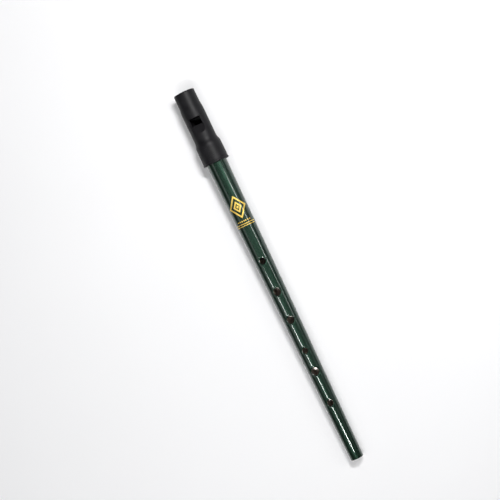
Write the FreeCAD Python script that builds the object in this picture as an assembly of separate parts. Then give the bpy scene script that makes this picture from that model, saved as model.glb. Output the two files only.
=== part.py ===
"""A tin whistle in D: a moulded mouthpiece head on a conical tube of rolled tinplate.

The whistle lies on its back along X, with its mouth end at -X, its foot at +X, and its window and
finger holes facing up. Every piece is first modelled in whistle coordinates, where x is the distance
from the mouth end, y is across, and z is the height above the tube's axis. Then it is moved so that
the origin is below the middle of the whistle, level with the lowest point of the head's rim.
"""

import FreeCAD
import Part
import math
import os

from FreeCAD import Vector

# ---- driving dimensions, in millimetres -------------------------------------------------------

WHISTLE_LENGTH = 290.0
HEAD_LENGTH = 55.1
SOCKET_DEPTH = 15.0

# tube: a cone of sheet metal, widest inside the head and narrowest at the foot
SHEET_THICKNESS = 0.35
TUBE_TOP_RADIUS = 7.75
TUBE_FOOT_RADIUS = 4.85
LAP_WIDTH = 3.0
LAP_START_BELOW_RIM = 1.5
SOLDER_RADIUS = 0.32

# finger holes, from the top one down: distance of the centre from the foot, and diameter
FINGER_HOLES = [
    (157.2, 4.8),
    (132.9, 5.8),
    (110.7, 5.7),
    (86.3, 4.4),
    (69.7, 6.0),
    (44.8, 4.8),
]

# outside of the head, as radii about the tube's axis
MOUTH_RADIUS = 7.8
NECK_RADIUS = 8.3
BARREL_RADIUS = 9.5
RIM_RADIUS = 9.75
MOUTH_LENGTH = 8.5
NECK_START = 15.5
FLARE_START = 36.0
FLARE_END = 42.5
RIM_WIDTH = 1.6
RIM_STEP_LENGTH = 0.4
RIM_ROUNDING = 0.45

# beak: the underside is scooped out towards the mouth
BEAK_UNDERSIDE = -2.4
SCOOP_END = 24.5
BEAK_WALL = 1.4
SCOOP_EDGE_ROUNDING = 1.2
MOUTH_EDGE_ROUNDING = 0.7

# windway, window and ramp
AIRWAY_WIDTH = 8.0
WINDOW_START = 20.0
WINDOW_LENGTH = 5.5
WINDWAY_ROOF_AT_MOUTH = 5.6
WINDWAY_ROOF_AT_WINDOW = 5.7
WINDWAY_FLOOR_AT_MOUTH = 4.3
WINDWAY_FLOOR_AT_WINDOW = 4.8
BLOCK_RADIUS = 6.5
BLOCK_GLUE_GAP = 0.03
LABIUM_UNDERSIDE = 5.0
LABIUM_EDGE_THICKNESS = 0.2
RAMP_WIDTH = 8.6
RAMP_LENGTH = 6.2
RAMP_END_STEP = 0.35

# hollow inside the head
CHAMBER_RADIUS = 6.8
LABIUM_CHAMBER_END = 33.0
SOCKET_CLEARANCE = 0.04
SHOULDER_GAP = 0.2
SOCKET_LEAD_IN = 0.7

# plain recessed mark on the barrel: a lozenge outline and a short bar
MARK_DEPTH = 0.2
MARK_LINE = 0.7
MARK_LOZENGE_CENTRE = 49.1
MARK_LOZENGE_LENGTH = 6.4
MARK_LOZENGE_WIDTH = 6.0
MARK_BAR_CENTRE = 43.9
MARK_BAR_LENGTH = 1.2
MARK_BAR_WIDTH = 5.0

# gold print on the tube: lozenges, a row of dots and two bars around the tube
PRINT_THICKNESS = 0.05
PRINT_LINE = 1.0
PRINT_CENTRE = 90.5
PRINT_LENGTH = 17.4
PRINT_WIDTH = 12.2
PRINT_INNER_SCALE = 0.5
PRINT_CORE_SCALE = 0.16
DOT_COUNT = 7
DOT_SPACING = 1.45
DOT_SIZE = 0.95
DOT_ROW = 101.3
BAR_ROWS = [103.3, 104.8]
BAR_WIDTH = 0.45
BAR_HALF_SPAN = 6.6
PRINT_TURN = -4.0  # degrees about the axis, from the line of the finger holes towards +Y

# ---- derived values ---------------------------------------------------------------------------

SHOULDER = HEAD_LENGTH - SOCKET_DEPTH
TUBE_TOP = SHOULDER + SHOULDER_GAP
TUBE_LENGTH = WHISTLE_LENGTH - TUBE_TOP
SOCKET_RADIUS = TUBE_TOP_RADIUS + SOCKET_CLEARANCE
WINDOW_END = WINDOW_START + WINDOW_LENGTH
RAMP_END = WINDOW_END + RAMP_LENGTH
RAMP_START_HEIGHT = LABIUM_UNDERSIDE + LABIUM_EDGE_THICKNESS
RAMP_END_HEIGHT = NECK_RADIUS - RAMP_END_STEP
LAP_START = HEAD_LENGTH + LAP_START_BELOW_RIM

X_AXIS = Vector(1, 0, 0)
Y_AXIS = Vector(0, 1, 0)
Z_AXIS = Vector(0, 0, 1)
OVERSHOOT = 2.0  # how far a cutting tool reaches past the surface that it opens
REACH = 30.0  # longer than any cross-section of the whistle
NEARLY = 0.01  # how near two places are that count as the same one


# ---- small shape helpers ----------------------------------------------------------------------


def tube_radius(x):
    """Outer radius of the tube at a distance x from the mouth end."""
    along = (x - TUBE_TOP) / TUBE_LENGTH
    return TUBE_TOP_RADIUS + along * (TUBE_FOOT_RADIUS - TUBE_TOP_RADIUS)


def rod(radius, start, end):
    """Round bar on the axis from x = start to x = end."""
    return Part.makeCylinder(radius, end - start, Vector(start, 0, 0), X_AXIS)


def cone_rod(extra_radius, start, end):
    """Solid cone on the axis, with the tube's outer radius plus extra_radius all along."""
    return Part.makeCone(
        tube_radius(start) + extra_radius,
        tube_radius(end) + extra_radius,
        end - start,
        Vector(start, 0, 0),
        X_AXIS,
    )


def slab(x_range, y_range, z_range):
    """Box between two x, two y and two z values."""
    size = [high - low for low, high in (x_range, y_range, z_range)]
    return Part.makeBox(*size, Vector(x_range[0], y_range[0], z_range[0]))


def side_prism(outline, half_width):
    """Prism across the whistle whose side view is a closed list of (x, z) corners."""
    corners = [Vector(x, -half_width, z) for x, z in outline]
    wire = Part.makePolygon(corners + corners[:1])
    return Part.Face(wire).extrude(Y_AXIS * (2 * half_width))


def plan_prism(outline, low, high):
    """Upright prism from z = low to z = high whose plan is a closed list of (x, y) corners."""
    corners = [Vector(x, y, low) for x, y in outline]
    wire = Part.makePolygon(corners + corners[:1])
    return Part.Face(wire).extrude(Z_AXIS * (high - low))


def lozenge(centre_x, length, width):
    """Corners of a lozenge on the centre line, in plan."""
    return [
        (centre_x - length / 2, 0),
        (centre_x, width / 2),
        (centre_x + length / 2, 0),
        (centre_x, -width / 2),
    ]


def lozenge_ring(centre_x, length, width, line, low, high):
    """Upright prism of a lozenge outline with the given line width."""
    diagonal = math.hypot(length, width)
    inner_length = length - 2 * line * diagonal / width
    inner_width = width - 2 * line * diagonal / length
    outer = plan_prism(lozenge(centre_x, length, width), low, high)
    return outer.cut(plan_prism(lozenge(centre_x, inner_length, inner_width), low, high))


def s_curve(start, end):
    """Two tangent arcs in the (x, radius) plane, level at both ends."""
    (x0, r0), (x1, r1) = start, end
    half_run = (x1 - x0) / 2
    half_rise = (r1 - r0) / 2
    radius = (half_run**2 + half_rise**2) / (2 * half_rise)
    half_turn = math.asin(half_run / abs(radius)) / 2
    step_x = abs(radius) * math.sin(half_turn)
    step_r = radius * (1 - math.cos(half_turn))
    middle = Vector((x0 + x1) / 2, 0, (r0 + r1) / 2)
    first = Part.Arc(Vector(x0, 0, r0), Vector(x0 + step_x, 0, r0 + step_r), middle)
    second = Part.Arc(middle, Vector(x1 - step_x, 0, r1 - step_r), Vector(x1, 0, r1))
    return [first.toShape(), second.toShape()]


def line(start, end):
    """Straight edge in the (x, z) plane."""
    return Part.makeLine(Vector(start[0], 0, start[1]), Vector(end[0], 0, end[1]))


def edges_near(shape, test):
    """Edges of a shape whose middle point passes the test."""
    found = []
    for edge in shape.Edges:
        middle = edge.valueAt((edge.FirstParameter + edge.LastParameter) / 2)
        if test(middle):
            found.append(edge)
    return found


# ---- head shell -------------------------------------------------------------------------------


def turned_body():
    """Outside of the head before the scoop: mouth, neck, flare, barrel and rim."""
    rim_start = HEAD_LENGTH - RIM_WIDTH
    rim_top = rim_start + RIM_STEP_LENGTH
    rim_corner = HEAD_LENGTH - RIM_ROUNDING
    rounding_middle = RIM_ROUNDING * math.sqrt(0.5)
    rim_arc = Part.Arc(
        Vector(rim_corner, 0, RIM_RADIUS),
        Vector(
            rim_corner + rounding_middle,
            0,
            RIM_RADIUS - RIM_ROUNDING + rounding_middle,
        ),
        Vector(HEAD_LENGTH, 0, RIM_RADIUS - RIM_ROUNDING),
    )
    outline = [
        line((0, 0), (0, MOUTH_RADIUS)),
        line((0, MOUTH_RADIUS), (MOUTH_LENGTH, MOUTH_RADIUS)),
        *s_curve((MOUTH_LENGTH, MOUTH_RADIUS), (NECK_START, NECK_RADIUS)),
        line((NECK_START, NECK_RADIUS), (FLARE_START, NECK_RADIUS)),
        *s_curve((FLARE_START, NECK_RADIUS), (FLARE_END, BARREL_RADIUS)),
        line((FLARE_END, BARREL_RADIUS), (rim_start, BARREL_RADIUS)),
        *s_curve((rim_start, BARREL_RADIUS), (rim_top, RIM_RADIUS)),
        line((rim_top, RIM_RADIUS), (rim_corner, RIM_RADIUS)),
        rim_arc.toShape(),
        line((HEAD_LENGTH, RIM_RADIUS - RIM_ROUNDING), (HEAD_LENGTH, 0)),
        line((HEAD_LENGTH, 0), (0, 0)),
    ]
    face = Part.Face(Part.Wire(outline))
    return face.revolve(Vector(0, 0, 0), X_AXIS, 360)


def below_scoop(offset):
    """Everything below the beak's underside, raised by offset. The underside leaves the mouth end
    level and curves down along one arc until it runs out of the neck."""
    level = BEAK_UNDERSIDE + offset
    drop = BEAK_UNDERSIDE + NECK_RADIUS
    radius = (SCOOP_END**2 + drop**2) / (2 * drop)
    turn = math.asin((SCOOP_END + OVERSHOOT) / radius)

    def on_arc(angle):
        x = radius * math.sin(angle)
        z = level - radius * (1 - math.cos(angle))
        return Vector(x, -REACH, z)

    arc = Part.Arc(on_arc(0), on_arc(turn / 2), on_arc(turn)).toShape()
    corners = [
        on_arc(turn),
        Vector(on_arc(turn).x, -REACH, -REACH),
        Vector(-REACH, -REACH, -REACH),
        Vector(-REACH, -REACH, level),
        on_arc(0),
    ]
    wire = Part.Wire([arc] + Part.makePolygon(corners).Edges)
    return Part.Face(wire).extrude(Y_AXIS * (2 * REACH))


def windway_space():
    """Air channel between the block and the roof, from the mouth to the window."""
    roof_slope = (WINDWAY_ROOF_AT_WINDOW - WINDWAY_ROOF_AT_MOUTH) / WINDOW_START
    floor_slope = (WINDWAY_FLOOR_AT_WINDOW - WINDWAY_FLOOR_AT_MOUTH) / WINDOW_START
    outline = [
        (-OVERSHOOT, WINDWAY_FLOOR_AT_MOUTH - OVERSHOOT * floor_slope),
        (WINDOW_START, WINDWAY_FLOOR_AT_WINDOW),
        (WINDOW_START, WINDWAY_ROOF_AT_WINDOW),
        (-OVERSHOOT, WINDWAY_ROOF_AT_MOUTH - OVERSHOOT * roof_slope),
    ]
    return side_prism(outline, AIRWAY_WIDTH / 2)


def block_space(start, gap):
    """Space for the block, or with a gap the block itself: a round bar, levelled at the windway's
    floor and scooped below in line with the beak."""
    floor_slope = (WINDWAY_FLOOR_AT_WINDOW - WINDWAY_FLOOR_AT_MOUTH) / WINDOW_START
    above_floor = [
        (start, WINDWAY_FLOOR_AT_MOUTH + start * floor_slope),
        (WINDOW_START + OVERSHOOT, WINDWAY_FLOOR_AT_WINDOW + OVERSHOOT * floor_slope),
        (WINDOW_START + OVERSHOOT, REACH),
        (start, REACH),
    ]
    space = rod(BLOCK_RADIUS - gap, start, WINDOW_START)
    space = space.cut(side_prism(above_floor, REACH))
    return space.cut(below_scoop(BEAK_WALL + gap))


def chamber_space():
    """Hollow behind the block: flat-topped under the labium, then round, then the tube's socket.
    The socket's lead-in is a 45 degree cone that runs on past the end of the head."""
    under_labium = rod(CHAMBER_RADIUS, WINDOW_START, LABIUM_CHAMBER_END)
    above_labium = slab((0, HEAD_LENGTH), (-REACH, REACH), (LABIUM_UNDERSIDE, REACH))
    under_labium = under_labium.cut([above_labium, below_scoop(BEAK_WALL)])
    round_part = rod(CHAMBER_RADIUS, LABIUM_CHAMBER_END, SHOULDER + OVERSHOOT)
    socket = rod(SOCKET_RADIUS, SHOULDER, HEAD_LENGTH + OVERSHOOT)
    lead_in = Part.makeCone(
        SOCKET_RADIUS,
        SOCKET_RADIUS + 2 * SOCKET_LEAD_IN,
        2 * SOCKET_LEAD_IN,
        Vector(HEAD_LENGTH - SOCKET_LEAD_IN, 0, 0),
        X_AXIS,
    )
    return under_labium.fuse([round_part, socket, lead_in])


def window_space():
    """Window through the top, from the windway's end to the labium's edge."""
    return slab(
        (WINDOW_START, WINDOW_END),
        (-AIRWAY_WIDTH / 2, AIRWAY_WIDTH / 2),
        (LABIUM_UNDERSIDE - OVERSHOOT, REACH),
    )


def ramp_space():
    """Space over the ramp, which rises from the labium's edge and ends in a small step."""
    outline = [
        (WINDOW_END, RAMP_START_HEIGHT),
        (RAMP_END, RAMP_END_HEIGHT),
        (RAMP_END, REACH),
        (WINDOW_END, REACH),
    ]
    return side_prism(outline, RAMP_WIDTH / 2)


def barrel_mark():
    """Shallow recess in the barrel: a lozenge outline with a short bar before it."""
    bar = plan_prism(
        [
            (MARK_BAR_CENTRE - MARK_BAR_LENGTH / 2, -MARK_BAR_WIDTH / 2),
            (MARK_BAR_CENTRE + MARK_BAR_LENGTH / 2, -MARK_BAR_WIDTH / 2),
            (MARK_BAR_CENTRE + MARK_BAR_LENGTH / 2, MARK_BAR_WIDTH / 2),
            (MARK_BAR_CENTRE - MARK_BAR_LENGTH / 2, MARK_BAR_WIDTH / 2),
        ],
        0,
        REACH,
    )
    ring = lozenge_ring(
        MARK_LOZENGE_CENTRE,
        MARK_LOZENGE_LENGTH,
        MARK_LOZENGE_WIDTH,
        MARK_LINE,
        0,
        REACH,
    )
    floor = rod(BARREL_RADIUS - MARK_DEPTH, 0, HEAD_LENGTH)
    return bar.fuse(ring).cut(floor)


def round_head_edges(shell):
    """Soft moulded edges: along the sides of the scoop first, then around the mouth end."""

    def at_scoop_side(point):
        low = point.z < BEAK_UNDERSIDE + NEARLY
        return low and NEARLY < point.x < SCOOP_END + NEARLY

    def at_mouth(point):
        return abs(point.x) < NEARLY

    shell = shell.makeFillet(SCOOP_EDGE_ROUNDING, edges_near(shell, at_scoop_side))
    return shell.makeFillet(MOUTH_EDGE_ROUNDING, edges_near(shell, at_mouth))


def head_shell():
    body = round_head_edges(turned_body().cut(below_scoop(0)))
    spaces = [
        windway_space(),
        block_space(-OVERSHOOT, 0),
        chamber_space(),
        window_space(),
        ramp_space(),
        barrel_mark(),
    ]
    return body.cut(spaces)


def windway_block():
    return block_space(0, BLOCK_GLUE_GAP).removeSplitter()


# ---- tube -------------------------------------------------------------------------------------


def lap_strip():
    """Outer edge of the sheet, which laps over the seam along the tube's back."""
    shell = cone_rod(SHEET_THICKNESS, LAP_START, WHISTLE_LENGTH)
    shell = shell.cut(cone_rod(0, LAP_START, WHISTLE_LENGTH))
    strip = slab(
        (LAP_START - OVERSHOOT, WHISTLE_LENGTH + OVERSHOOT),
        (-LAP_WIDTH / 2, LAP_WIDTH / 2),
        (-REACH, 0),
    )
    return shell.common(strip)


def tube():
    """Rolled cone, open at both ends, with the lap along its back and six finger holes on top."""
    outside = cone_rod(0, TUBE_TOP, WHISTLE_LENGTH).fuse(lap_strip())
    tinplate = outside.cut(cone_rod(-SHEET_THICKNESS, TUBE_TOP, WHISTLE_LENGTH))
    for from_foot, diameter in FINGER_HOLES:
        centre = Vector(WHISTLE_LENGTH - from_foot, 0, 0)
        tinplate = tinplate.cut(Part.makeCylinder(diameter / 2, REACH, centre, Z_AXIS))
    return tinplate.removeSplitter()


def seam_solder():
    """Bead of solder in the corner beside the lap's open edge."""
    edge_y = LAP_WIDTH / 2
    start = Vector(LAP_START, edge_y, -math.sqrt(tube_radius(LAP_START) ** 2 - edge_y**2))
    end = Vector(WHISTLE_LENGTH, edge_y, -math.sqrt(TUBE_FOOT_RADIUS**2 - edge_y**2))
    run = end - start
    bead = Part.makeCylinder(SOLDER_RADIUS, run.Length, start, run)
    bead = bead.cut(cone_rod(0, LAP_START - OVERSHOOT, WHISTLE_LENGTH + OVERSHOOT))
    bead = bead.cut(lap_strip())
    beyond_lap = slab(
        (LAP_START, WHISTLE_LENGTH), (edge_y, edge_y + SOLDER_RADIUS), (-REACH, 0)
    )
    return bead.common(beyond_lap)


def gold_print():
    """Printed design on the front of the tube, as a skin of ink on the cone."""
    core_length = PRINT_LENGTH * PRINT_CORE_SCALE
    core_width = PRINT_WIDTH * PRINT_CORE_SCALE
    inner_length = PRINT_LENGTH * PRINT_INNER_SCALE
    inner_width = PRINT_WIDTH * PRINT_INNER_SCALE
    stencils = [
        lozenge_ring(PRINT_CENTRE, PRINT_LENGTH, PRINT_WIDTH, PRINT_LINE, 0, REACH),
        lozenge_ring(PRINT_CENTRE, inner_length, inner_width, PRINT_LINE, 0, REACH),
        plan_prism(lozenge(PRINT_CENTRE, core_length, core_width), 0, REACH),
    ]
    for index in range(DOT_COUNT):
        centre_y = (index - (DOT_COUNT - 1) / 2) * DOT_SPACING
        stencils.append(
            Part.makeCylinder(DOT_SIZE / 2, REACH, Vector(DOT_ROW, centre_y, 0), Z_AXIS)
        )
    for row in BAR_ROWS:
        stencils.append(
            slab(
                (row - BAR_WIDTH / 2, row + BAR_WIDTH / 2),
                (-BAR_HALF_SPAN, BAR_HALF_SPAN),
                (0, REACH),
            )
        )
    start = PRINT_CENTRE - PRINT_LENGTH
    end = PRINT_CENTRE + PRINT_LENGTH
    skin = cone_rod(PRINT_THICKNESS, start, end).cut(cone_rod(0, start, end))
    ink = Part.makeCompound([skin.common(stencil) for stencil in stencils])
    ink.rotate(Vector(0, 0, 0), X_AXIS, PRINT_TURN)
    return ink


# ---- write the pieces -------------------------------------------------------------------------

PIECES = {
    "head_shell": head_shell,
    "windway_block": windway_block,
    "tube": tube,
    "seam_solder": seam_solder,
    "gold_print": gold_print,
}


def main():
    os.makedirs("parts", exist_ok=True)
    for name, make in PIECES.items():
        shape = make()
        shape.translate(Vector(-WHISTLE_LENGTH / 2, 0, RIM_RADIUS))
        shape.exportStep(f"parts/{name}.step")
        box = shape.BoundBox
        print(
            f"{name}: valid {shape.isValid()}, {len(shape.Solids)} solids, "
            f"{shape.Volume:.1f} mm3, x {box.XMin:.2f}..{box.XMax:.2f}, "
            f"y {box.YMin:.2f}..{box.YMax:.2f}, z {box.ZMin:.2f}..{box.ZMax:.2f}"
        )


main()
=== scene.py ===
"""Looks of the tin whistle: lacquered tinplate tube, moulded head, gold print, studio, camera."""

import math

import bmesh
import bpy
from mathutils import Matrix, Vector


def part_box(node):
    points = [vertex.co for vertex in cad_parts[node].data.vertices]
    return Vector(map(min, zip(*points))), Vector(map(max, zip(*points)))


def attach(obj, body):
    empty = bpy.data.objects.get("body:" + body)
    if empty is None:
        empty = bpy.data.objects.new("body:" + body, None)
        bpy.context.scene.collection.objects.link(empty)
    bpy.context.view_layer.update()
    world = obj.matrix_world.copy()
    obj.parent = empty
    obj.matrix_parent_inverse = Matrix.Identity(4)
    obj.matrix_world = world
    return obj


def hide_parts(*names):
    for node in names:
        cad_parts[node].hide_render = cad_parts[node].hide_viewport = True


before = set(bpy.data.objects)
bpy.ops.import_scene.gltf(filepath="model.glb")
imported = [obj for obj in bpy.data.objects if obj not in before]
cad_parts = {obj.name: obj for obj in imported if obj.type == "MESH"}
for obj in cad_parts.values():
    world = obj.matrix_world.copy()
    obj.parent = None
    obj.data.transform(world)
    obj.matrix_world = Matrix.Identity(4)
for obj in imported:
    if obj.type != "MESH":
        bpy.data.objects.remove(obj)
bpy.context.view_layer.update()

MM = 0.001

# ---- the whistle's own sizes, in metres, as its CAD model has them ----------------------------

HEAD_LOW, HEAD_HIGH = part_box("head_shell")
TUBE_LOW, TUBE_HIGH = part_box("tube")
MOUTH_X = HEAD_LOW.x
RIM_X = HEAD_HIGH.x
AXIS_Z = HEAD_HIGH.y  # the rim's radius, because the head lies on its rim
TUBE_TOP_X = TUBE_LOW.x
FOOT_X = TUBE_HIGH.x
TUBE_TOP_RADIUS = TUBE_HIGH.y
TUBE_FOOT_RADIUS = 4.85 * MM
SHEET = 0.35 * MM
# finger holes from the head down: distance from the foot, and diameter
FINGER_HOLES = [
    (157.2 * MM, 4.8 * MM),
    (132.9 * MM, 5.8 * MM),
    (110.7 * MM, 5.7 * MM),
    (86.3 * MM, 4.4 * MM),
    (69.7 * MM, 6.0 * MM),
    (44.8 * MM, 4.8 * MM),
]

# ---- tube mesh ---------------------------------------------------------------------------------

LACQUERED, BARE = range(2)  # the material slots of the tube's mesh

FRONT_HALF_ANGLE = 0.75  # in radians, half of the band along the front with the finger holes
PATCH_SIDE_FACES = 16  # faces along each side of the square patch around a hole
BACK_FACES = 52  # faces around the rest of the tube
PLAIN_FACE_LENGTH = 6.0 * MM
DISH_DEPTH = 0.16 * MM  # how far the sheet is pressed in at a hole's edge
DISH_WIDTH = 0.9 * MM
# rings of a patch, as shares of the way from the hole's edge to the patch's border
PATCH_RINGS = [0.8, 0.62, 0.47, 0.35, 0.25, 0.17, 0.11, 0.06]
# Cut edges of the sheet from its outside to its inside, in millimetres: distance back from the
# edge, and depth from the outer surface.
HOLE_LIP = [
    (0.10, 0.0),
    (0.045, -0.02),
    (0.01, -0.06),
    (0.0, -0.12),
    (0.0, -0.25),
    (0.03, -0.33),
    (0.08, -0.35),
]
RIM_LIP = [
    (0.10, 0.0),
    (0.04, -0.01),
    (0.01, -0.04),
    (0.0, -0.09),
    (0.0, -0.26),
    (0.02, -0.32),
]

HOLE_LACQUERED_TO = -0.1  # depth in millimetres where the lacquer ends inside a hole's edge

LAP_START_BELOW_RIM = 1.5 * MM
LAP_SUNK = -0.06  # in millimetres, where the strip's underside lies in the sheet below it
LAP_TOP_FACES = 6
LAP_END_ROW = 0.08 * MM  # short faces at the strip's ends, which keep its shading level up to them
# one side of the lap strip's cross-section, in millimetres: across from its middle, and outwards
LAP_EDGE = [
    (1.5, LAP_SUNK),
    (1.5, 0.25),
    (1.48, 0.30),
    (1.43, 0.34),
    (1.36, 0.35),
]


def tube_radius(x):
    """Outer radius of the tube at x."""
    along = (x - TUBE_TOP_X) / (FOOT_X - TUBE_TOP_X)
    return TUBE_TOP_RADIUS + along * (TUBE_FOOT_RADIUS - TUBE_TOP_RADIUS)


def on_tube(x, angle, offset=0.0):
    """Point at x and at an angle from the tube's front, offset outwards from its outer surface."""
    radius = tube_radius(x) + offset
    return Vector((x, radius * math.sin(angle), AXIS_Z + radius * math.cos(angle)))


def smooth_step(value):
    """Rise from 0 to 1 that starts and ends level."""
    value = min(max(value, 0.0), 1.0)
    return value * value * (3 - 2 * value)


def make_object(name, bm, materials):
    """Smooth-shaded object made of the bmesh, which is freed."""
    bmesh.ops.recalc_face_normals(bm, faces=bm.faces)
    for face in bm.faces:
        face.smooth = True
    mesh = bpy.data.meshes.new(name)
    bm.to_mesh(mesh)
    bm.free()
    for material in materials:
        mesh.materials.append(material)
    obj = bpy.data.objects.new(name, mesh)
    bpy.context.scene.collection.objects.link(obj)
    return obj


def join_rows(bm, first, second, slot, closed):
    """Faces between two rows of vertices of the same length."""
    count = len(first)
    for i in range(count if closed else count - 1):
        j = (i + 1) % count
        face = bm.faces.new((first[i], first[j], second[j], second[i]))
        face.material_index = slot


def ring_angles():
    """Angles of the lines along the tube: the front band first, then on around the back."""
    front = [
        FRONT_HALF_ANGLE * (2 * i / PATCH_SIDE_FACES - 1) for i in range(PATCH_SIDE_FACES + 1)
    ]
    rest = 2 * math.pi - 2 * FRONT_HALF_ANGLE
    back = [FRONT_HALF_ANGLE + rest * i / BACK_FACES for i in range(1, BACK_FACES)]
    return front + back


def plain_rows(bm, xs, angles, offset):
    """A ring of vertices around the tube at each x."""
    return [[bm.verts.new(on_tube(x, a, offset)) for a in angles] for x in xs]


def square_path(half):
    """Points around a square of the given half side, from one corner on around."""
    n = PATCH_SIDE_FACES
    steps = [half * (2 * i / n - 1) for i in range(n)]
    path = [(-half, s) for s in steps]
    path += [(s, half) for s in steps]
    path += [(half, -s) for s in steps]
    path += [(-s, -half) for s in steps]
    return path


def hole_patch(bm, hole_x, hole_radius, outer_border, inner_border, tube_radius_here):
    """The square patch around one hole: its outside, over the lip and back along the inside."""
    half = FRONT_HALF_ANGLE * tube_radius_here
    path = square_path(half)

    def dish(distance):
        return -DISH_DEPTH * (1 - smooth_step(distance / DISH_WIDTH))

    def ring(share, lip, depth):
        """Ring from the hole's edge, share 0, to the square, share 1, lip out from the edge."""
        verts = []
        for px, pa in path:
            reach = math.hypot(px, pa)
            distance = share * (reach - hole_radius) + lip
            scale = (hole_radius + distance) / reach
            angle = pa * scale / tube_radius_here
            point = on_tube(hole_x + px * scale, angle, dish(distance) + depth)
            verts.append(bm.verts.new(point))
        return verts

    lip_start = HOLE_LIP[0][0] * MM
    rows = [outer_border]
    slots = []
    for share in PATCH_RINGS:
        rows.append(ring(share, lip_start, 0.0))
        slots.append(LACQUERED)
    for lip, depth in HOLE_LIP:
        rows.append(ring(0.0, lip * MM, depth * MM))
        slots.append(LACQUERED if depth > HOLE_LACQUERED_TO else BARE)
    for share in reversed(PATCH_RINGS):
        rows.append(ring(share, lip_start, -SHEET))
        slots.append(BARE)
    rows.append(inner_border)
    slots.append(BARE)
    for first, second, slot in zip(rows, rows[1:], slots):
        join_rows(bm, first, second, slot, closed=True)


def border_of_patch(rows, low, high):
    """Vertices around the patch between rows low and high, in the order of square_path."""
    n = PATCH_SIDE_FACES
    start = [rows[low][i] for i in range(n)]
    side_up = [rows[low + i][n] for i in range(n)]
    end = [rows[high][n - i] for i in range(n)]
    side_down = [rows[high - i][0] for i in range(n)]
    return start + side_up + end + side_down


def tube_stations():
    """Every x where a ring of vertices goes, and each hole's first and last ring, x and radius."""
    lip_start = RIM_LIP[0][0] * MM
    stations = [TUBE_TOP_X + lip_start]
    patches = []
    for from_foot, diameter in FINGER_HOLES:
        hole_x = FOOT_X - from_foot
        half = FRONT_HALF_ANGLE * tube_radius(hole_x)
        fill_stations(stations, hole_x - half)
        first = len(stations) - 1
        for i in range(1, PATCH_SIDE_FACES + 1):
            stations.append(hole_x - half + 2 * half * i / PATCH_SIDE_FACES)
        patches.append((first, len(stations) - 1, hole_x, diameter / 2))
    fill_stations(stations, FOOT_X - lip_start)
    return stations, patches


def fill_stations(stations, end):
    """Evenly spaced stations from the last one up to end."""
    start = stations[-1]
    count = max(1, math.ceil((end - start) / PLAIN_FACE_LENGTH))
    stations.extend(start + (end - start) * i / count for i in range(1, count + 1))


def tube_end(bm, rows_outer, rows_inner, index, end_x, inward, angles):
    """Rounded cut edge of the sheet at one end of the tube."""
    rows = [rows_outer[index]]
    for lip, depth in RIM_LIP[1:]:
        x = end_x + inward * lip * MM
        rows.append([bm.verts.new(on_tube(x, a, depth * MM)) for a in angles])
    rows.append(rows_inner[index])
    for first, second in zip(rows, rows[1:]):
        join_rows(bm, first, second, BARE, closed=True)


def lap_strip(bm):
    """Edge of the sheet that laps over the seam along the tube's back, as a closed strip."""
    side = [(across * MM, outwards * MM) for across, outwards in LAP_EDGE]
    edge_across, top = side[-1]
    steps = [1 - 2 * i / LAP_TOP_FACES for i in range(1, LAP_TOP_FACES)]
    outline = side + [(edge_across * step, top) for step in steps]
    outline += [(-across, outwards) for across, outwards in reversed(side)]
    outline += [(-side[0][0] * step, LAP_SUNK * MM) for step in steps]
    start = RIM_X + LAP_START_BELOW_RIM
    xs = [start, start + LAP_END_ROW]
    fill_stations(xs, FOOT_X - LAP_END_ROW)
    xs.append(FOOT_X)
    rows = []
    for x in xs:
        around = [(math.pi + across / tube_radius(x), outwards) for across, outwards in outline]
        rows.append([bm.verts.new(on_tube(x, angle, outwards)) for angle, outwards in around])
    for first, second in zip(rows, rows[1:]):
        join_rows(bm, first, second, LACQUERED, closed=True)
    bm.faces.new(rows[0]).material_index = LACQUERED
    bm.faces.new(rows[-1]).material_index = BARE


def tube_mesh(lacquer, bare_metal):
    """The tube: one sheet with an outside, an inside, six holes, two cut ends and its lap."""
    bm = bmesh.new()
    angles = ring_angles()
    stations, patches = tube_stations()
    outer = plain_rows(bm, stations, angles, 0.0)
    inner = plain_rows(bm, stations, angles, -SHEET)
    in_patch = {k for first, last, _, _ in patches for k in range(first, last)}
    n = PATCH_SIDE_FACES
    for rows, slot in ((outer, LACQUERED), (inner, BARE)):
        for k in range(len(stations) - 1):
            if k in in_patch:
                around = rows[k][n:] + rows[k][:1]
                beside = rows[k + 1][n:] + rows[k + 1][:1]
                join_rows(bm, around, beside, slot, closed=False)
            else:
                join_rows(bm, rows[k], rows[k + 1], slot, closed=True)
    for first, last, hole_x, hole_radius in patches:
        hole_patch(
            bm,
            hole_x,
            hole_radius,
            border_of_patch(outer, first, last),
            border_of_patch(inner, first, last),
            tube_radius(hole_x),
        )
    tube_end(bm, outer, inner, 0, TUBE_TOP_X, 1, angles)
    tube_end(bm, outer, inner, len(stations) - 1, FOOT_X, -1, angles)
    lap_strip(bm)
    # the vertices of the plain rows that lie under the patches
    loose = [v for v in bm.verts if not v.link_faces]
    bmesh.ops.delete(bm, geom=loose, context="VERTS")
    return make_object("tube_sheet", bm, [lacquer, bare_metal])


# ---- materials ---------------------------------------------------------------------------------


def new_material(name):
    """Material with one shader, and that shader."""
    material = bpy.data.materials.new(name)
    material.use_nodes = True
    nodes = material.node_tree.nodes
    nodes.clear()
    shader = nodes.new("ShaderNodeBsdfPrincipled")
    output = nodes.new("ShaderNodeOutputMaterial")
    link(material, shader.outputs["BSDF"], output.inputs["Surface"])
    return material, shader


def link(material, source, target):
    """Join a node's output to an input."""
    material.node_tree.links.new(source, target)


def node(material, kind, inputs=None):
    """Node of the given kind with some of its inputs set."""
    made = material.node_tree.nodes.new(kind)
    for key, value in (inputs or {}).items():
        made.inputs[key].default_value = value
    return made


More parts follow.
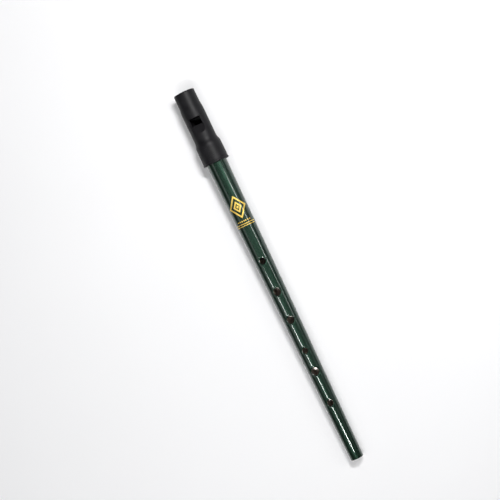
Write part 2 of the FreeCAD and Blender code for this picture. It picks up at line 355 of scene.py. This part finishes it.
def noise(material, scale, detail=2.0, roughness=0.5):
    """Noise from 0 to 1 in the object's own coordinates, with scale counted per metre."""
    made = node(
        material,
        "ShaderNodeTexNoise",
        {"Scale": scale, "Detail": detail, "Roughness": roughness},
    )
    place = node(material, "ShaderNodeTexCoord").outputs["Object"]
    link(material, place, made.inputs["Vector"])
    return made.outputs["Fac"]


def tone_between(material, source, dark, light):
    """Colour that goes from dark to light, each given as its stop on the source and its RGB."""
    made = node(material, "ShaderNodeValToRGB")
    for element, (stop, rgb) in zip(made.color_ramp.elements, (dark, light)):
        element.position = stop
        element.color = (*rgb, 1)
    link(material, source, made.inputs["Fac"])
    return made.outputs["Color"]


def map_range(material, source, low, high):
    """Value that goes from low to high as the source goes from 0 to 1."""
    made = node(material, "ShaderNodeMapRange", {"To Min": low, "To Max": high})
    link(material, source, made.inputs["Value"])
    return made.outputs["Result"]


def bump(material, height, strength, distance):
    """Normal that follows the height, with distance in metres."""
    made = node(material, "ShaderNodeBump", {"Strength": strength, "Distance": distance})
    link(material, height, made.inputs["Height"])
    return made.outputs["Normal"]


def varied_material(name, grain, dark, light, gloss_scale, roughness, metallic=0.0):
    """Material whose colour and roughness each vary with a noise.

    grain holds the colour noise's settings, gloss_scale is the roughness noise's scale, and
    roughness is its lowest and highest value.
    """
    material, shader = new_material(name)
    colour = tone_between(material, noise(material, **grain), dark, light)
    link(material, colour, shader.inputs["Base Color"])
    gloss = map_range(material, noise(material, gloss_scale), *roughness)
    link(material, gloss, shader.inputs["Roughness"])
    shader.inputs["Metallic"].default_value = metallic
    return material, shader


def green_lacquer():
    """Clear coat over a fine metallic sparkle."""
    material, shader = varied_material(
        "green_lacquer",
        grain={"scale": 2600.0, "detail": 5.0, "roughness": 0.75},
        dark=(0.40, (0.0024, 0.0090, 0.0056)),
        light=(0.64, (0.0290, 0.072, 0.0475)),
        gloss_scale=400.0,
        roughness=(0.34, 0.46),
        metallic=0.85,
    )
    shader.inputs["Coat Weight"].default_value = 0.95
    shader.inputs["Coat IOR"].default_value = 1.5
    shader.inputs["Coat Roughness"].default_value = 0.05
    return material


def bare_tinplate():
    """Cut edges of the sheet and its inside."""
    material, _ = varied_material(
        "bare_tinplate",
        grain={"scale": 300.0, "detail": 4.0},
        dark=(0.3, (0.56, 0.50, 0.46)),
        light=(0.7, (0.84, 0.78, 0.73)),
        gloss_scale=700.0,
        roughness=(0.25, 0.45),
        metallic=1.0,
    )
    return material


def black_plastic():
    """Moulded plastic with a fine, dull surface."""
    material, shader = varied_material(
        "black_plastic",
        grain={"scale": 250.0, "detail": 3.0},
        dark=(0.3, (0.0038, 0.0036, 0.0046)),
        light=(0.7, (0.0072, 0.0068, 0.0085)),
        gloss_scale=500.0,
        roughness=(0.44, 0.54),
    )
    shader.inputs["Specular IOR Level"].default_value = 0.24
    surface = bump(material, noise(material, scale=5000.0), strength=0.25, distance=0.05 * MM)
    link(material, surface, shader.inputs["Normal"])
    return material


def solder_metal():
    """Greenish grey solder along the seam."""
    material, _ = varied_material(
        "solder_metal",
        grain={"scale": 600.0, "detail": 3.0},
        dark=(0.3, (0.21, 0.33, 0.27)),
        light=(0.7, (0.42, 0.56, 0.48)),
        gloss_scale=900.0,
        roughness=(0.3, 0.5),
        metallic=0.9,
    )
    return material


def gold_ink():
    """Ink of the printed emblem."""
    material, _ = varied_material(
        "gold_ink",
        grain={"scale": 1200.0, "detail": 3.0},
        dark=(0.3, (0.78, 0.52, 0.085)),
        light=(0.7, (0.92, 0.66, 0.14)),
        gloss_scale=1500.0,
        roughness=(0.35, 0.5),
        metallic=0.4,
    )
    return material


def pale_floor():
    """Matt, nearly white floor."""
    material, shader = new_material("pale_floor")
    colour = tone_between(
        material,
        noise(material, scale=6.0),
        dark=(0.3, (0.86, 0.86, 0.87)),
        light=(0.7, (0.88, 0.88, 0.89)),
    )
    link(material, colour, shader.inputs["Base Color"])
    shader.inputs["Roughness"].default_value = 0.9
    shader.inputs["Specular IOR Level"].default_value = 0.1
    return material


# ---- studio ------------------------------------------------------------------------------------

CAMERA_HEIGHT = 0.9  # above the floor
LENS = 89.55  # in millimetres
CLIP_START = 0.01
CAMERA_FOOT_FROM_MOUTH = 122.2 * MM  # along the whistle
CAMERA_FOOT_ASIDE = -5.5 * MM  # across the whistle
ROLL_TOWARDS_PLUS_Y = math.radians(7.0)
WHISTLE_ANGLE_IN_VIEW = math.radians(64.68)  # of the axis, clockwise from the picture's right
FLOOR_SIZE = 6.0
LIGHT_HEIGHT = 0.70
SIDE_TURN = -64.5  # degrees, for a light whose long side lies along the whistle
# Lights by the place of their middle and their size, in metres along the picture's right and up
# at LIGHT_HEIGHT, the turn of their long side in degrees, and their power in watts.
LIGHTS = {
    "strip_above_near": ((0.05, 0.35), (0.20, 0.035), 0.0, 4.4),
    "strip_above_line": ((0.21, 0.262), (0.14, 0.018), 0.0, 1.0),
    "strip_above_middle": ((0.58, 0.255), (0.36, 0.03), 0.0, 0.82),
    "strip_above_far": ((0.88, 0.255), (0.24, 0.035), 0.0, 0.38),
    "strip_below_near": ((0.10, -0.31), (0.12, 0.02), 0.0, 0.86),
    "strip_below_far": ((-0.20, -0.31), (0.48, 0.02), 0.0, 2.0),
    "box_left": ((-0.80, -0.38), (0.6, 0.36), SIDE_TURN, 0.82),
    "box_left_far": ((-1.22, -0.58), (0.8, 0.6), SIDE_TURN, 0.67),
    "box_right": ((0.75, 0.36), (0.8, 0.4), SIDE_TURN, 0.48),
    "box_right_far": ((1.22, 0.58), (0.8, 0.6), SIDE_TURN, 0.58),
    "fill_foot": ((0.52, -1.08), (0.8, 0.8), 0.0, 1.1),
    "fill_head": ((-0.52, 1.08), (0.8, 0.8), 0.0, 0.91),
}
WORLD_STRENGTH = 0.01


def floor_axes():
    """The plane that the head's rim and the tube's foot both rest on: a point and three axes."""
    rim_bottom = Vector((RIM_X, 0, 0))
    # the lap makes the foot one sheet thicker at its back
    foot_bottom = Vector((FOOT_X, 0, AXIS_Z - TUBE_FOOT_RADIUS - SHEET))
    along = (foot_bottom - rim_bottom).normalized()
    across = Vector((0, 1, 0))
    up = along.cross(across)
    return rim_bottom, along, across, up


def frame_matrix(origin, right, up, back):
    """Placement whose own axes point right, up and back."""
    matrix = Matrix((right, up, back)).transposed().to_4x4()
    matrix.translation = origin
    return matrix


def add_floor(material):
    origin, along, across, up = floor_axes()
    bm = bmesh.new()
    bmesh.ops.create_grid(bm, x_segments=1, y_segments=1, size=FLOOR_SIZE / 2)
    floor = make_object("floor", bm, [material])
    floor.matrix_world = frame_matrix(origin, along, across, up)


def view_axes():
    """Picture axes of the camera: right, up, and back towards it, with the camera rolled to +Y."""
    _, along, across, up = floor_axes()
    roll = Matrix.Rotation(-ROLL_TOWARDS_PLUS_Y, 3, along)
    side = roll @ across
    back = roll @ up
    cos, sin = math.cos(WHISTLE_ANGLE_IN_VIEW), math.sin(WHISTLE_ANGLE_IN_VIEW)
    right = along * cos + side * sin
    picture_up = side * cos - along * sin
    return right, picture_up, back


def camera_foot():
    """Point of the floor that the camera and the lights are placed over."""
    origin, along, across, _ = floor_axes()
    from_rim = MOUTH_X + CAMERA_FOOT_FROM_MOUTH - origin.x
    return origin + along * from_rim + across * CAMERA_FOOT_ASIDE


def add_camera():
    """Camera above the floor, turned with its view around the whistle's axis."""
    right, up, back = view_axes()
    data = bpy.data.cameras.new("camera")
    data.lens = LENS
    data.clip_start = CLIP_START
    camera = bpy.data.objects.new("camera", data)
    axis_point = Vector((0, 0, AXIS_Z))
    _, along, _, floor_up = floor_axes()
    offset = camera_foot() + floor_up * CAMERA_HEIGHT - axis_point
    offset = Matrix.Rotation(-ROLL_TOWARDS_PLUS_Y, 3, along) @ offset
    camera.matrix_world = frame_matrix(axis_point + offset, right, up, back)
    bpy.context.scene.collection.objects.link(camera)
    bpy.context.scene.camera = camera


def add_light(name, place, size, turn_degrees, power):
    right, up, back = view_axes()
    data = bpy.data.lights.new(name, "AREA")
    data.shape = "RECTANGLE"
    data.size, data.size_y = size
    data.energy = power
    light = bpy.data.objects.new(name, data)
    centre = camera_foot() + back * LIGHT_HEIGHT + right * place[0] + up * place[1]
    facing = Matrix.Rotation(math.radians(turn_degrees), 4, "Z")
    light.matrix_world = frame_matrix(centre, right, up, back) @ facing
    bpy.context.scene.collection.objects.link(light)


def add_world():
    world = bpy.data.worlds.new("studio")
    world.use_nodes = True
    background = world.node_tree.nodes["Background"]
    background.inputs["Color"].default_value = (1.0, 1.0, 1.0, 1)
    background.inputs["Strength"].default_value = WORLD_STRENGTH
    bpy.context.scene.world = world


def assign(obj, material):
    """Give a CAD piece one material all over."""
    obj.data.materials.clear()
    obj.data.materials.append(material)
    for face in obj.data.polygons:
        face.material_index = 0


def main():
    tube = tube_mesh(green_lacquer(), bare_tinplate())
    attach(tube, "tube")
    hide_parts("tube")
    plastic = black_plastic()
    for name, material in (
        ("head_shell", plastic),
        ("windway_block", plastic),
        ("seam_solder", solder_metal()),
        ("gold_print", gold_ink()),
    ):
        assign(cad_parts[name], material)
    add_floor(pale_floor())
    add_camera()
    for name, (place, size, turn, power) in LIGHTS.items():
        add_light(name, place, size, turn, power)
    add_world()
    bpy.context.scene.view_settings.view_transform = "Standard"


main()
